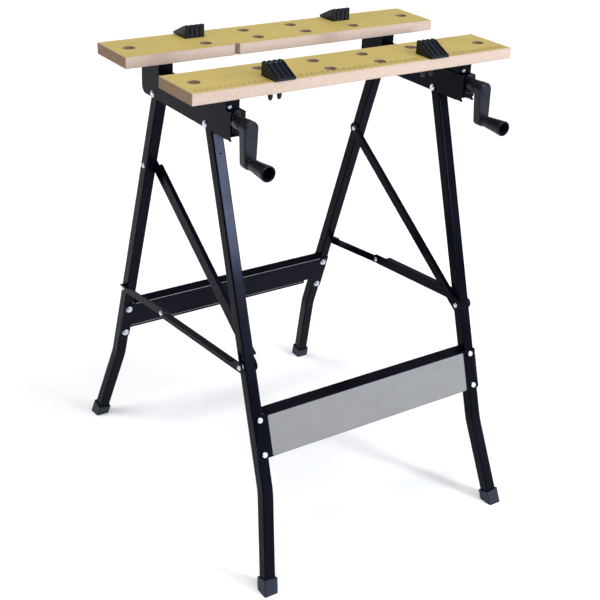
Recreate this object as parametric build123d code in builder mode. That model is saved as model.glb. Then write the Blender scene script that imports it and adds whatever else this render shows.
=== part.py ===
# Folding clamping workbench (folding sawhorse) built piece by piece.
# Millimetres, +Z up, front of the bench towards -Y, origin on the floor under the
# middle of the bench, half way between the front and the rear leg pivots.
import os
from math import atan, cos, hypot, radians, sin

from build123d import *

os.makedirs("parts", exist_ok=True)

SIDES = {"left": -1, "right": 1}

# Leg tube, lean of the leg planes and position of the top pivots
LEG_X = 222.0
TUBE = 20.0
TUBE_WALL = 1.5
TUBE_RADIUS = 2.5
TUBE_INNER_RADIUS = 1.0
PIVOT_Z = 725.0
PIVOT_Y = 84.5
LEAN = atan(0.32)
LEG_TOP = 8.0
BEND_DEPTH = 595.0
BEND_RADIUS = 150.0
FLARE = 0.1304
FLOOR_DEPTH = PIVOT_Z / cos(LEAN)
SHOE_SOLE = 7.5
LEG_END_DEPTH = FLOOR_DEPTH - SHOE_SOLE

# Pivot bolts and rivets
PIN_R = 4.0
PIN_HOLE_R = 4.05
HEAD_R = 5.6
HEAD_H = 2.6
RIVET_HEAD_R = 4.5
RIVET_HEAD_H = 2.4
SPACER_R = 6.0
STRUT_LEG_DEPTH = 144.0
LOWER_PIVOT_DEPTH = 383.0
BRACE_LEG_DEPTH = 424.0
BRACE_JOINT_DISTANCE = 154.0
BRACE_JOINT_RISE = 3.0
FRAME_SCREW_R = 3.0
FRAME_SCREW_HOLE_R = 3.2
FRAME_HEAD_R = 5.6
FRAME_HEAD_H = 4.0
FRAME_NUT_H = 5.0

# Small vent hole in the front wall of the left front leg
VENT_R = 1.5
VENT_DEPTH = 47.0

# Shoes on the leg ends
SHOE = 25.6
SHOE_RADIUS = 3.0
SHOE_HEIGHT = 22.0
SHOE_POCKET = 20.1

# Front panel and rear crossbar
PANEL_X = 233.0
PANEL_TOP = 464.0
PANEL_BOTTOM = 537.0
PANEL_SHEET = 2.0
PANEL_FLANGE_X = 211.0
PANEL_FLANGE = 21.0
PANEL_SCREW_X = 220.5
PANEL_SCREW_DEPTHS = (472.0, 530.0)
LABEL_X = 205.0
LABEL_TOP = 468.0
LABEL_BOTTOM = 536.5
LABEL_SHEET = 0.4
BAR_X = 232.0
BAR_TOP = 461.0
BAR_BOTTOM = 515.0
BAR_TAB_END = 542.0
BAR_SHEET = 1.5
BAR_FLANGE = 16.5
BAR_FLANGE_X = 211.2
BAR_LIP_BOTTOM = 521.5
BAR_LIP_LENGTH = 398.0
BAR_LIP_MIDDLE = -13.0
BAR_LIP = 1.0
BAR_HEAD_R = 6.6
BAR_SCREW_X = 221.5
BAR_SCREW_DEPTHS = (473.0, 533.0)

# Pressed steel arms under the jaws
ARM_X = 222.6
ARM_W = 25.6
ARM_SHEET = 2.0
ARM_FRONT = -158.5
ARM_REAR = 122.5
ARM_BOTTOM = 719.0
ARM_TOP = 763.0
ARM_REAR_RADIUS = 12.0
ARM_END_PLATE_BOTTOM = 726.0
RISER_FRONT = 63.5
RISER_SLOPE_START = 65.5
RISER_SLOPE_END = 93.5
SLOT_W = 9.4
SLOT_FRONT = -146.0
SLOT_REAR = 20.0
END_TAB = 6.0

# Jaws
JAW_L = 605.0
JAW_D = 100.0
JAW_T = 18.0
JAW_BOTTOM = 784.0
JAW_TOP = JAW_BOTTOM + JAW_T
FRONT_JAW_Y = -114.5
REAR_JAW_Y = 93.0
JAW_EDGE = 0.8
DOG_R = 10.0
DOG_COLUMNS = (47.5, 147.0)
DOG_ROW = 23.75
DOG_END_X = 272.0
GROOVE_X = -102.85
GROOVE_W = 11.0
GROOVE_DEPTH = 5.8

# Carriages and nuts under the front jaw
CARRIAGE_W = 23.4
CARRIAGE_FRONT = -146.5
CARRIAGE_REAR = -82.5
CARRIAGE_GAP = 0.3
CARRIAGE_SHEET = 2.5
NUT_FRONT = -128.0
NUT_REAR = -104.0
NUT_W = 18.0
NUT_BOTTOM = 739.0
NUT_TOP = 760.4
NUT_NECK_W = 8.4
CARRIAGE_SCREW_X = -6.4
CARRIAGE_SCREW_Z = 768.5
CARRIAGE_SCREW_R = 3.2

# Spindles, bushes, cranks and knobs
SPINDLE_X = 224.0
SPINDLE_Z = 748.0
SPINDLE_R = 4.0
SPINDLE_HOLE_R = 4.05
SPINDLE_REAR = 45.0
BUSH_W = 18.6
BUSH_FRONT = -160.5
BUSH_TOP = 767.0
BUSH_BOTTOM = 733.0
BUSH_RIM = 1.6
BUSH_RECESS = 0.8
HUB_R = 12.5
HUB_NECK_R = 11.5
HUB_BACK = -160.9
CRANK_BACK = -182.5
CRANK_FACE = -198.5
THROW = 51.5
CRANK_TURN = {"left": 0.0, "right": -4.0}
CRANK_END_R = 10.5
CRANK_EDGE_R = 2.2
CAP_R = 10.0
CAP_H = 1.4
KNOB_END = -246.5
KNOB_BASE_R = 9.2
KNOB_END_R = 12.6
KNOB_MOUTH_R = 10.4
KNOB_MOUTH_DEPTH = 17.0
KNOB_PIN_R = 4.0
KNOB_PIN_LENGTH = 28.0
KNOB_GAP = 0.3

# Clamping pegs
PEG_X = 147.0
PEG_W = 36.0
PEG_H = 21.6
PEG_FACE = 13.0
PEG_NOSE = 28.5
PEG_NOSE_H = 3.5
PEG_CREST = 4.0
PEG_LOBES = 4
PEG_VALLEY = 2.0
PEG_TOP_R = 1.2
PEG_RIBS = 3
PEG_RIB_W = 1.4
PEG_RECESS_W = 30.0
PEG_RECESS_DEPTH = 1.8
PRONG_INNER = 4.2
PRONG_OUTER = 8.6
PRONG_BARB = 12.0
PRONG_HALF_D = 3.6
PRONG_BOTTOM = 765.4

# Struts inside the legs and two-link braces outside them
STRUT_W = 22.0
STRUT_SHEET = 2.0
STRUT_FLANGE = 8.0
STRUT_GAP = 0.3
BRACE_SHEET = 2.0
BRACE_REAR_W = 14.0
BRACE_FRONT_W = 18.0
BRACE_REAR_X = 10.6
BRACE_FRONT_X = 12.9
BRACE_FRONT_FLANGE = 12.0
BRACE_FLANGE_START = 14.0
BRACE_FLANGE_STOP = 27.0
BRACE_REAR_FLANGE = 6.5
BRACE_REAR_FLANGE_LENGTH = 28.0
BRACE_REAR_FLANGE_PAST = 3.0
BRACE_RIVET_DISC = 0.25

LEG_PLANES = {
    "front": Plane(
        origin=(0, -PIVOT_Y, PIVOT_Z), x_dir=(1, 0, 0), z_dir=(0, -cos(LEAN), sin(LEAN))
    ),
    "rear": Plane(
        origin=(0, PIVOT_Y, PIVOT_Z), x_dir=(1, 0, 0), z_dir=(0, -cos(LEAN), -sin(LEAN))
    ),
}


def on_leg(end, x, depth, out=0.0):
    """Place on the front or rear leg plane: x across, depth down the leg, out forwards."""
    return LEG_PLANES[end].location * Location((x, -depth, out))


def leg_point(end, depth):
    """Y and Z of a point on the leg centreline."""
    y_sign = -1 if end == "front" else 1
    return (y_sign * (PIVOT_Y + depth * sin(LEAN)), PIVOT_Z - depth * cos(LEAN))


def span(side, near, far):
    """Lowest X and width of a layer between two distances from the middle plane."""
    low = min(side * near, side * far)
    return low, far - near


POINT_STRUT_LEG = leg_point("rear", STRUT_LEG_DEPTH)
POINT_LOWER = leg_point("front", LOWER_PIVOT_DEPTH)
POINT_BRACE_LEG = leg_point("rear", BRACE_LEG_DEPTH)
BRACE_SPAN = hypot(
    POINT_BRACE_LEG[0] - POINT_LOWER[0], POINT_BRACE_LEG[1] - POINT_LOWER[1]
)
BRACE_JOINT_SHARE = 1 - BRACE_JOINT_DISTANCE / BRACE_SPAN
POINT_BRACE_JOINT = (
    POINT_LOWER[0] + (POINT_BRACE_LEG[0] - POINT_LOWER[0]) * BRACE_JOINT_SHARE,
    POINT_LOWER[1] + (POINT_BRACE_LEG[1] - POINT_LOWER[1]) * BRACE_JOINT_SHARE
    + BRACE_JOINT_RISE,
)
BRACE_FRONT_LENGTH = hypot(
    POINT_BRACE_JOINT[0] - POINT_LOWER[0], POINT_BRACE_JOINT[1] - POINT_LOWER[1]
)
BRACE_REAR_LENGTH = hypot(
    POINT_BRACE_LEG[0] - POINT_BRACE_JOINT[0], POINT_BRACE_LEG[1] - POINT_BRACE_JOINT[1]
)
SHOE_X = LEG_X + FLARE * (LEG_END_DEPTH - BEND_DEPTH)


def block(x_low, x_high, y_low, y_high, z_low, z_high, mode=Mode.ADD):
    """Square-edged block between two corners, added to the part being built."""
    middle = ((x_low + x_high) / 2, (y_low + y_high) / 2, (z_low + z_high) / 2)
    with Locations(middle):
        Box(x_high - x_low, y_high - y_low, z_high - z_low, mode=mode)


def pin_along_x(point, x_low, x_high, radius, mode=Mode.ADD):
    """Round pin lying along X between two X positions."""
    with Locations(((x_low + x_high) / 2, point[0], point[1])):
        Cylinder(radius, x_high - x_low, rotation=(0, 90, 0), mode=mode)


def domed_head(point, x_face, out_sign, radius, height):
    """Low domed rivet or bolt head standing on a face that looks along X."""
    place = Plane(
        origin=(x_face, point[0], point[1]), x_dir=(0, 1, 0), z_dir=(out_sign, 0, 0)
    )
    with BuildSketch(place) as disc:
        Circle(radius)
    extrude(disc.sketch, amount=height, taper=28)


# ---------------------------------------------------------------- legs and shoes
def make_leg(name, end, side, cross_depths, screw_x, screw_depths, vent_depths):
    plane = LEG_PLANES[end]
    with BuildPart() as leg:
        with BuildLine(plane) as path:
            FilletPolyline(
                (side * LEG_X, LEG_TOP),
                (side * LEG_X, -BEND_DEPTH),
                (side * SHOE_X, -LEG_END_DEPTH),
                radius=BEND_RADIUS,
            )
        start = Plane(origin=path.line @ 0, x_dir=(1, 0, 0), z_dir=path.line % 0)
        with BuildSketch(start):
            RectangleRounded(TUBE, TUBE, TUBE_RADIUS)
            RectangleRounded(
                TUBE - 2 * TUBE_WALL, TUBE - 2 * TUBE_WALL, TUBE_INNER_RADIUS,
                mode=Mode.SUBTRACT,
            )
        sweep(path=path.wires()[0])
        for depth in cross_depths:
            with Locations(on_leg(end, side * LEG_X, depth)):
                Cylinder(PIN_HOLE_R, 2 * TUBE, rotation=(0, 90, 0), mode=Mode.SUBTRACT)
        for depth in screw_depths:
            with Locations(on_leg(end, side * screw_x, depth)):
                Cylinder(FRAME_SCREW_HOLE_R, 2 * TUBE, mode=Mode.SUBTRACT)
        for depth in vent_depths:
            with Locations(on_leg(end, side * LEG_X, depth, TUBE / 2)):
                Cylinder(VENT_R, TUBE / 2, mode=Mode.SUBTRACT)
    leg.part.label = name
    export_step(leg.part, "parts/" + name + ".step")


for side_name, side in SIDES.items():
    make_leg(
        "leg_front_" + side_name, "front", side, (0.0, LOWER_PIVOT_DEPTH),
        PANEL_SCREW_X, PANEL_SCREW_DEPTHS, (VENT_DEPTH,) if side < 0 else (),
    )
    make_leg(
        "leg_rear_" + side_name, "rear", side, (0.0,), BAR_SCREW_X, BAR_SCREW_DEPTHS, ()
    )


def make_shoe(name, end, side):
    plane = LEG_PLANES[end]
    lean_x = side * sin(atan(FLARE))
    lean_y = -cos(atan(FLARE))
    tip = plane.from_local_coords(Vector(side * SHOE_X, -LEG_END_DEPTH, 0))
    knee = plane.from_local_coords(
        Vector(side * SHOE_X - lean_x, -LEG_END_DEPTH - lean_y, 0)
    )
    across = plane.from_local_coords(
        Vector(side * SHOE_X - lean_y, -LEG_END_DEPTH + lean_x, 0)
    )
    leg_end = Plane(origin=tip, x_dir=across - tip, z_dir=knee - tip)
    rise = leg_end.z_dir.Z
    with BuildPart() as shoe:
        with BuildSketch(leg_end.offset(-3 * SHOE_SOLE)):
            RectangleRounded(SHOE, SHOE, SHOE_RADIUS)
        extrude(amount=3 * SHOE_SOLE + SHOE_HEIGHT / rise - SHOE_SOLE)
        with BuildSketch(leg_end):
            RectangleRounded(SHOE_POCKET, SHOE_POCKET, TUBE_RADIUS)
        extrude(amount=SHOE_HEIGHT, mode=Mode.SUBTRACT)
        split(bisect_by=Plane.XY, keep=Keep.TOP)
    shoe.part.label = name
    export_step(shoe.part, "parts/" + name + ".step")


for side_name, side in SIDES.items():
    make_shoe("foot_front_" + side_name, "front", side)
    make_shoe("foot_rear_" + side_name, "rear", side)

# ------------------------------------------------------------------- front panel
FRONT_FACE = LEG_PLANES["front"].offset(TUBE / 2)
FOLD_Y = -(PIVOT_Y + PANEL_TOP * sin(LEAN)) - (TUBE / 2 + PANEL_SHEET) * cos(LEAN)
FOLD_Z = PIVOT_Z - PANEL_TOP * cos(LEAN) + (TUBE / 2 + PANEL_SHEET) * sin(LEAN)
with BuildPart() as front_panel:
    with BuildSketch(FRONT_FACE):
        with Locations((0, -(PANEL_TOP + PANEL_BOTTOM) / 2)):
            RectangleRounded(2 * PANEL_X, PANEL_BOTTOM - PANEL_TOP, 2.0)
        for depth in PANEL_SCREW_DEPTHS:
            with Locations((-PANEL_SCREW_X, -depth), (PANEL_SCREW_X, -depth)):
                Circle(FRAME_SCREW_HOLE_R, mode=Mode.SUBTRACT)
    extrude(amount=PANEL_SHEET)
    block(
        -PANEL_FLANGE_X, PANEL_FLANGE_X, FOLD_Y + 0.6, FOLD_Y + PANEL_FLANGE,
        FOLD_Z - PANEL_SHEET, FOLD_Z,
    )
front_panel.part.label = "front_panel"
export_step(front_panel.part, "parts/front_panel.step")

with BuildPart() as panel_label:
    with BuildSketch(FRONT_FACE.offset(PANEL_SHEET)):
        with Locations((0, -(LABEL_TOP + LABEL_BOTTOM) / 2)):
            RectangleRounded(2 * LABEL_X, LABEL_BOTTOM - LABEL_TOP, 2.0)
    extrude(amount=LABEL_SHEET)
panel_label.part.label = "panel_label"
export_step(panel_label.part, "parts/panel_label.step")

# ----------------------------------------------------------------- rear crossbar
BAR_FACE = LEG_PLANES["rear"].offset(TUBE / 2)
with BuildPart() as rear_crossbar:
    with BuildSketch(BAR_FACE):
        with Locations((0, -(BAR_TOP + BAR_BOTTOM) / 2)):
            Rectangle(2 * BAR_X, BAR_BOTTOM - BAR_TOP)
        with Locations(
            (-LEG_X, -(BAR_TOP + BAR_TAB_END) / 2), (LEG_X, -(BAR_TOP + BAR_TAB_END) / 2)
        ):
            RectangleRounded(TUBE, BAR_TAB_END - BAR_TOP, 2.0)
        with Locations((BAR_LIP_MIDDLE, -(BAR_BOTTOM + BAR_LIP_BOTTOM) / 2)):
            Rectangle(BAR_LIP_LENGTH, BAR_LIP_BOTTOM - BAR_BOTTOM)
        for depth in BAR_SCREW_DEPTHS:
            with Locations((-BAR_SCREW_X, -depth), (BAR_SCREW_X, -depth)):
                Circle(FRAME_SCREW_HOLE_R, mode=Mode.SUBTRACT)
    extrude(amount=BAR_SHEET)
    with BuildSketch(BAR_FACE):
        with Locations((0, -(BAR_TOP + BAR_SHEET / 2))):
            Rectangle(2 * BAR_FLANGE_X, BAR_SHEET)
        with Locations((0, -(BAR_BOTTOM - BAR_SHEET / 2))):
            Rectangle(2 * BAR_FLANGE_X, BAR_SHEET)
    extrude(amount=-BAR_FLANGE)
    with BuildSketch(BAR_FACE.offset(BAR_SHEET)):
        with Locations((BAR_LIP_MIDDLE, -(BAR_LIP_BOTTOM - BAR_SHEET / 2))):
            Rectangle(BAR_LIP_LENGTH, BAR_SHEET)
    extrude(amount=BAR_LIP)
rear_crossbar.part.label = "rear_crossbar"
export_step(rear_crossbar.part, "parts/rear_crossbar.step")


# ------------------------------------------ screws and nuts through the leg tubes
def make_frame_screws(name, end, screw_x, depths, sheet, head_r):
    face = TUBE / 2 + sheet
    length = face + TUBE / 2 + FRAME_NUT_H + 1.5
    with BuildPart() as screws:
        for depth in depths:
            for side in SIDES.values():
                with Locations(on_leg(end, side * screw_x, depth, face - length / 2)):
                    Cylinder(FRAME_SCREW_R, length)
                head = Plane(on_leg(end, side * screw_x, depth, face))
                with BuildSketch(head) as hexagon:
                    RegularPolygon(head_r, 6)
                extrude(hexagon.sketch, amount=FRAME_HEAD_H)
    screws.part.label = name
    export_step(screws.part, "parts/" + name + ".step")


make_frame_screws(
    "panel_bolts", "front", PANEL_SCREW_X, PANEL_SCREW_DEPTHS, PANEL_SHEET, FRAME_HEAD_R
)
make_frame_screws(
    "crossbar_bolts", "rear", BAR_SCREW_X, BAR_SCREW_DEPTHS, BAR_SHEET, BAR_HEAD_R
)


def make_frame_nuts(name, end, screw_x, depths):
    with BuildPart() as nuts:
        for depth in depths:
            for side in SIDES.values():
                seat = Plane(on_leg(end, side * screw_x, depth, -TUBE / 2 - FRAME_NUT_H))
                with BuildSketch(seat) as hexagon:
                    RegularPolygon(FRAME_HEAD_R, 6)
                    Circle(FRAME_SCREW_R, mode=Mode.SUBTRACT)
                extrude(hexagon.sketch, amount=FRAME_NUT_H)
    nuts.part.label = name
    export_step(nuts.part, "parts/" + name + ".step")


make_frame_nuts("panel_nuts", "front", PANEL_SCREW_X, PANEL_SCREW_DEPTHS)
make_frame_nuts("crossbar_nuts", "rear", BAR_SCREW_X, BAR_SCREW_DEPTHS)


# ------------------------------------------------------------ pressed steel arms
def make_arm(name, side):
    middle = side * ARM_X
    screw_x = side * SPINDLE_X
    left = middle - ARM_W / 2
    profile = Plane(origin=(left, 0, 0), x_dir=(0, 1, 0), z_dir=(1, 0, 0))
    with BuildPart() as arm:
        with BuildSketch(profile):
            with BuildLine():
                Polyline(
                    (ARM_FRONT, ARM_TOP),
                    (ARM_FRONT, ARM_BOTTOM),
                    (ARM_FRONT + END_TAB, ARM_BOTTOM + 1.0),
                    (ARM_FRONT + 3 * END_TAB, ARM_BOTTOM),
                    (ARM_REAR, ARM_BOTTOM),
                    (ARM_REAR, JAW_BOTTOM),
                    (RISER_SLOPE_END, JAW_BOTTOM),
                    (RISER_SLOPE_START, ARM_TOP),
                    close=True,
                )
            make_face()
        extrude(amount=ARM_W)
        rear_edges = arm.edges().filter_by(Axis.X).group_by(Axis.Z)[0].sort_by(Axis.Y)
        fillet(rear_edges[-1], ARM_REAR_RADIUS)
        block(
            left, left + ARM_W, RISER_FRONT, RISER_SLOPE_END + 2, ARM_TOP - 1, JAW_BOTTOM
        )
        block(
            left + ARM_SHEET, left + ARM_W - ARM_SHEET,
            ARM_FRONT + ARM_SHEET, ARM_REAR + 1,
            ARM_BOTTOM - 1, ARM_TOP - ARM_SHEET, mode=Mode.SUBTRACT,
        )
        block(
            left + ARM_SHEET, left + ARM_W - ARM_SHEET,
            RISER_FRONT + ARM_SHEET, ARM_REAR + 1,
            ARM_TOP - 2 * ARM_SHEET, JAW_BOTTOM - ARM_SHEET, mode=Mode.SUBTRACT,
        )
        block(
            middle - ARM_W, middle + ARM_W, ARM_FRONT - 1, ARM_FRONT + ARM_SHEET,
            ARM_BOTTOM + 4, ARM_END_PLATE_BOTTOM, mode=Mode.SUBTRACT,
        )
        block(
            left + ARM_SHEET, left + ARM_W - ARM_SHEET, ARM_FRONT - 1,
            ARM_FRONT + ARM_SHEET, ARM_BOTTOM - 1, ARM_END_PLATE_BOTTOM,
            mode=Mode.SUBTRACT,
        )
        block(
            screw_x - SLOT_W / 2, screw_x + SLOT_W / 2, SLOT_FRONT, SLOT_REAR,
            ARM_TOP - 2 * ARM_SHEET, ARM_TOP + 1, mode=Mode.SUBTRACT,
        )
        for pivot_y in (-PIVOT_Y, PIVOT_Y):
            pin_along_x(
                (pivot_y, PIVOT_Z), middle - ARM_W, middle + ARM_W, PIN_HOLE_R,
                Mode.SUBTRACT,
            )
        with Locations((screw_x, ARM_FRONT, SPINDLE_Z)):
            Cylinder(SPINDLE_R + 1.5, 10, rotation=(90, 0, 0), mode=Mode.SUBTRACT)
    arm.part.label = name
    export_step(arm.part, "parts/" + name + ".step")


for side_name, side in SIDES.items():
    make_arm("arm_" + side_name, side)

# Pivot bolts through the arms, one for each leg top
with BuildPart() as arm_pivot_bolts:
    for side in SIDES.values():
        for pivot_y in (-PIVOT_Y, PIVOT_Y):
            pivot = (pivot_y, PIVOT_Z)
            low, width = span(side, ARM_X - ARM_W / 2, ARM_X + ARM_W / 2)
            pin_along_x(pivot, low, low + width, PIN_R)
            domed_head(pivot, low, -1, HEAD_R, HEAD_H)
            domed_head(pivot, low + width, 1, HEAD_R, HEAD_H)
arm_pivot_bolts.part.label = "arm_pivot_bolts"
export_step(arm_pivot_bolts.part, "parts/arm_pivot_bolts.step")

# Lower pivot bolts carry the strut inside and the brace outside each front leg
STRUT_INNER_X = LEG_X - TUBE / 2 - STRUT_GAP - STRUT_SHEET
BRACE_OUTER_X = LEG_X + BRACE_FRONT_X + BRACE_SHEET
with BuildPart() as lower_pivot_bolts:
    for side in SIDES.values():
        low, width = span(side, STRUT_INNER_X - STRUT_GAP, BRACE_OUTER_X + STRUT_GAP)
        pin_along_x(POINT_LOWER, low, low + width, PIN_R)
        domed_head(POINT_LOWER, low, -1, RIVET_HEAD_R, RIVET_HEAD_H)
        domed_head(POINT_LOWER, low + width, 1, RIVET_HEAD_R, RIVET_HEAD_H)
        low, width = span(side, LEG_X + TUBE / 2, LEG_X + BRACE_FRONT_X - STRUT_GAP)
        pin_along_x(POINT_LOWER, low, low + width, SPACER_R)
lower_pivot_bolts.part.label = "lower_pivot_bolts"
export_step(lower_pivot_bolts.part, "parts/lower_pivot_bolts.step")

# Rivet heads on the outside of the rear legs, over the upper strut ends
with BuildPart() as leg_rivets:
    for side in SIDES.values():
        domed_head(
            POINT_STRUT_LEG, side * (LEG_X + TUBE / 2), side, RIVET_HEAD_R, RIVET_HEAD_H
        )
leg_rivets.part.label = "leg_rivets"
export_step(leg_rivets.part, "parts/leg_rivets.step")


# -------------------------------------------------------------------------- jaws
def cut_dog_holes(jaw_y):
    for column in DOG_COLUMNS:
        for x_place in (-column, column):
            for y_place in (jaw_y - DOG_ROW, jaw_y + DOG_ROW):
                with Locations((x_place, y_place, JAW_BOTTOM + JAW_T / 2)):
                    Cylinder(DOG_R, 2 * JAW_T, mode=Mode.SUBTRACT)
    for x_place in (-DOG_END_X, DOG_END_X):
        with Locations((x_place, jaw_y, JAW_BOTTOM + JAW_T / 2)):
            Cylinder(DOG_R, 2 * JAW_T, mode=Mode.SUBTRACT)


with BuildPart() as front_jaw:
    with BuildSketch(Plane.XY.offset(JAW_BOTTOM)):
        with Locations((0, FRONT_JAW_Y)):
            Rectangle(JAW_L, JAW_D)
    extrude(amount=JAW_T)
    chamfer(front_jaw.faces().sort_by(Axis.Z)[-1].edges(), JAW_EDGE)
    cut_dog_holes(FRONT_JAW_Y)
front_jaw.part.label = "front_jaw"
export_step(front_jaw.part, "parts/front_jaw.step")

REAR_JAW_FACE = REAR_JAW_Y - JAW_D / 2
with BuildPart() as rear_jaw:
    with BuildSketch(Plane.XY.offset(JAW_BOTTOM)):
        with Locations((0, REAR_JAW_Y)):
            Rectangle(JAW_L, JAW_D)
    extrude(amount=JAW_T)
    chamfer(rear_jaw.faces().sort_by(Axis.Z)[-1].edges(), JAW_EDGE)
    cut_dog_holes(REAR_JAW_Y)
    with BuildSketch(Plane.XY.offset(JAW_BOTTOM - 1)):
        with BuildLine():
            Polyline(
                (GROOVE_X - GROOVE_W / 2, REAR_JAW_FACE - 1),
                (GROOVE_X - GROOVE_W / 2, REAR_JAW_FACE),
                (GROOVE_X, REAR_JAW_FACE + GROOVE_DEPTH),
                (GROOVE_X + GROOVE_W / 2, REAR_JAW_FACE),
                (GROOVE_X + GROOVE_W / 2, REAR_JAW_FACE - 1),
                close=True,
            )
        make_face()
    extrude(amount=JAW_T + 2, mode=Mode.SUBTRACT)
rear_jaw.part.label = "rear_jaw"
export_step(rear_jaw.part, "parts/rear_jaw.step")


# ------------------------------------------- carriages and nuts of the front jaw
def make_carriage(name, side):
    middle = side * SPINDLE_X
    bottom = ARM_TOP + CARRIAGE_GAP
    with BuildPart() as carriage:
        block(
            middle - CARRIAGE_W / 2, middle + CARRIAGE_W / 2,
            CARRIAGE_FRONT, CARRIAGE_REAR, bottom, JAW_BOTTOM,
        )
        fillet(carriage.edges().filter_by(Axis.Z).group_by(Axis.Y)[0], 2.0)
        block(
            middle - CARRIAGE_W / 2 + CARRIAGE_SHEET,
            middle + CARRIAGE_W / 2 - CARRIAGE_SHEET,
            CARRIAGE_FRONT + CARRIAGE_SHEET, CARRIAGE_REAR + 1,
            bottom + CARRIAGE_SHEET, JAW_BOTTOM + 1, mode=Mode.SUBTRACT,
        )
        with Locations((middle + CARRIAGE_SCREW_X, CARRIAGE_FRONT, CARRIAGE_SCREW_Z)):
            Cylinder(1.6, 10, rotation=(90, 0, 0), mode=Mode.SUBTRACT)
    carriage.part.label = name
    export_step(carriage.part, "parts/" + name + ".step")


def make_spindle_nut(name, side):
    middle = side * SPINDLE_X
    with BuildPart() as nut:
        block(
            middle - NUT_W / 2, middle + NUT_W / 2, NUT_FRONT, NUT_REAR,
            NUT_BOTTOM, NUT_TOP,
        )
        block(
            middle - NUT_NECK_W / 2, middle + NUT_NECK_W / 2, NUT_FRONT, NUT_REAR,
            NUT_TOP - 1, ARM_TOP + CARRIAGE_GAP,
        )
        with Locations((middle, (NUT_FRONT + NUT_REAR) / 2, SPINDLE_Z)):
            Cylinder(SPINDLE_HOLE_R, 60, rotation=(90, 0, 0), mode=Mode.SUBTRACT)
    nut.part.label = name
    export_step(nut.part, "parts/" + name + ".step")


for side_name, side in SIDES.items():
    make_carriage("carriage_" + side_name, side)
    make_spindle_nut("spindle_nut_" + side_name, side)

with BuildPart() as carriage_screws:
    for side in SIDES.values():
        place = Plane(
            origin=(side * SPINDLE_X + CARRIAGE_SCREW_X, CARRIAGE_FRONT, CARRIAGE_SCREW_Z),
            x_dir=(1, 0, 0), z_dir=(0, -1, 0),
        )
        with BuildSketch(place) as screw_head:
            Circle(CARRIAGE_SCREW_R)
        extrude(screw_head.sketch, amount=2.2, taper=15)
        with BuildSketch(place) as screw_shank:
            Circle(1.5)
        extrude(screw_shank.sketch, amount=-CARRIAGE_SHEET - 2)
carriage_screws.part.label = "carriage_screws"
export_step(carriage_screws.part, "parts/carriage_screws.step")


# ------------------------------------------------ spindle bushes on the arm ends
def make_bush(name, side):
    middle = side * SPINDLE_X
    face = Plane(origin=(middle, ARM_FRONT, 0), x_dir=(1, 0, 0), z_dir=(0, -1, 0))
    depth = ARM_FRONT - BUSH_FRONT
    arch_r = BUSH_W / 2
    arch_z = BUSH_TOP - arch_r
    with BuildPart() as bush:
        with BuildSketch(face):
            with Locations((0, arch_z)):
                Circle(arch_r)
            with Locations((0, (arch_z + BUSH_BOTTOM) / 2)):
                Rectangle(BUSH_W, arch_z - BUSH_BOTTOM)
        extrude(amount=depth)
        with BuildSketch(face.offset(depth)):
            with Locations((0, arch_z)):
                Circle(arch_r - BUSH_RIM)
            with Locations((0, (arch_z + BUSH_BOTTOM + 2 * BUSH_RIM) / 2)):
                Rectangle(2 * (arch_r - BUSH_RIM), arch_z - BUSH_BOTTOM - 2 * BUSH_RIM)
        extrude(amount=-BUSH_RECESS, mode=Mode.SUBTRACT)
        with Locations((middle, (ARM_FRONT + BUSH_FRONT) / 2, SPINDLE_Z)):
            Cylinder(SPINDLE_HOLE_R, 40, rotation=(90, 0, 0), mode=Mode.SUBTRACT)
    bush.part.label = name
    export_step(bush.part, "parts/" + name + ".step")


# ------------------------------------------------------ spindles, cranks, knobs
def make_spindle(name, side):
    rod = Plane(
        origin=(side * SPINDLE_X, CRANK_BACK, SPINDLE_Z), x_dir=(1, 0, 0), z_dir=(0, 1, 0)
    )
    with BuildPart() as spindle:
        with BuildSketch(rod):
            Circle(SPINDLE_R)
        extrude(amount=SPINDLE_REAR - CRANK_BACK)
        chamfer(spindle.faces().sort_by(Axis.Y)[-1].edges(), 0.8)
    spindle.part.label = name
    export_step(spindle.part, "parts/" + name + ".step")


def make_crank(name, side, turn):
    middle = side * SPINDLE_X
    back = Plane(origin=(middle, CRANK_BACK, SPINDLE_Z), x_dir=(1, 0, 0), z_dir=(0, -1, 0))
    turn_x = (HUB_R - CRANK_END_R) / THROW
    edge_x = cos(atan(turn_x))
    edge_z = sin(atan(turn_x))
    with BuildPart() as crank:
        with BuildSketch(back):
            Circle(HUB_R)
            with Locations((0, -THROW)):
                Circle(CRANK_END_R)
            with BuildLine():
                Polyline(
                    (HUB_R * edge_x, -HUB_R * edge_z),
                    (CRANK_END_R * edge_x, -THROW - CRANK_END_R * edge_z),
                    (-CRANK_END_R * edge_x, -THROW - CRANK_END_R * edge_z),
                    (-HUB_R * edge_x, -HUB_R * edge_z),
                    close=True,
                )
            make_face()
        extrude(amount=CRANK_BACK - CRANK_FACE)
        rims = crank.faces().sort_by(Axis.Y)
        fillet(rims[0].edges() + rims[-1].edges(), CRANK_EDGE_R)
        with BuildSketch(back):
            Circle(HUB_NECK_R)
        extrude(amount=CRANK_BACK - HUB_BACK)
        with BuildSketch(back.offset(CRANK_BACK - CRANK_FACE)):
            Circle(CAP_R)
        extrude(amount=CAP_H, taper=35)
        with Locations((middle, (HUB_BACK + CRANK_BACK) / 2, SPINDLE_Z)):
            Cylinder(
                SPINDLE_HOLE_R, HUB_BACK - CRANK_BACK, rotation=(90, 0, 0),
                mode=Mode.SUBTRACT,
            )
        with BuildSketch(back.offset(CRANK_BACK - CRANK_FACE - 1)):
            with Locations((0, -THROW)):
                Circle(KNOB_PIN_R)
        extrude(amount=KNOB_PIN_LENGTH + 1)
    turned = crank.part.rotate(Axis((middle, 0, SPINDLE_Z), (0, 1, 0)), turn)
    turned.label = name
    export_step(turned, "parts/" + name + ".step")


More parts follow.
